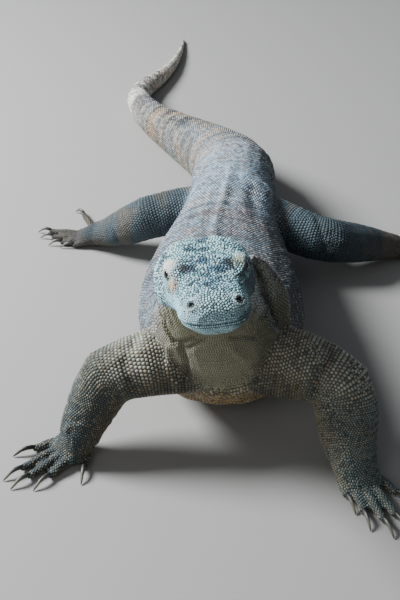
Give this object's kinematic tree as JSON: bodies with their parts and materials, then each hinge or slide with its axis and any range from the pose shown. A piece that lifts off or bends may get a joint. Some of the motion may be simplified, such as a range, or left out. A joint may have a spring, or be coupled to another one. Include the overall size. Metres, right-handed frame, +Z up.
{
  "type": "komodo dragon",
  "caption": "Life-size still model of a Komodo dragon lying with its chest propped on the forelegs, the head raised and the hind legs sprawled.",
  "frame": {"origin": "on the floor, under the middle of the whole outline", "axes": "+Y from the head's end towards the tail's end, so the animal faces -Y; +X towards its left side; +Z up"},
  "size_m": [1.005, 2.101, 0.4887],
  "materials": {
    "head_scales": "satin",
    "body_scales": "satin",
    "tail_scales": "satin",
    "leg_scales": "satin",
    "claws": "gloss",
    "eyes": "gloss"
  },
  "bodies": {
    "root": {"head": "head_scales", "lower_jaw": "head_scales", "eye_right": "eyes", "eye_left": "eyes", "neck": "body_scales", "trunk": "body_scales", "tail_base": "tail_scales", "tail_middle": "tail_scales", "tail_bend": "tail_scales", "tail_tip": "tail_scales", "upper_arm_right": "leg_scales", "forearm_right": "leg_scales", "hand_right": "leg_scales", "claw_fore_right_1": "claws", "claw_fore_right_2": "claws", "claw_fore_right_3": "claws", "claw_fore_right_4": "claws", "claw_fore_right_5": "claws", "upper_arm_left": "leg_scales", "forearm_left": "leg_scales", "hand_left": "leg_scales", "claw_fore_left_1": "claws", "claw_fore_left_2": "claws", "claw_fore_left_3": "claws", "claw_fore_left_4": "claws", "claw_fore_left_5": "claws", "thigh_right": "leg_scales", "shin_right": "leg_scales", "foot_right": "leg_scales", "claw_hind_right_1": "claws", "claw_hind_right_2": "claws", "claw_hind_right_3": "claws", "claw_hind_right_4": "claws", "claw_hind_right_5": "claws", "thigh_left": "leg_scales", "shin_left": "leg_scales", "foot_left": "leg_scales", "claw_hind_left_1": "claws", "claw_hind_left_2": "claws", "claw_hind_left_3": "claws", "claw_hind_left_4": "claws", "claw_hind_left_5": "claws"}
  },
  "joints": []
}
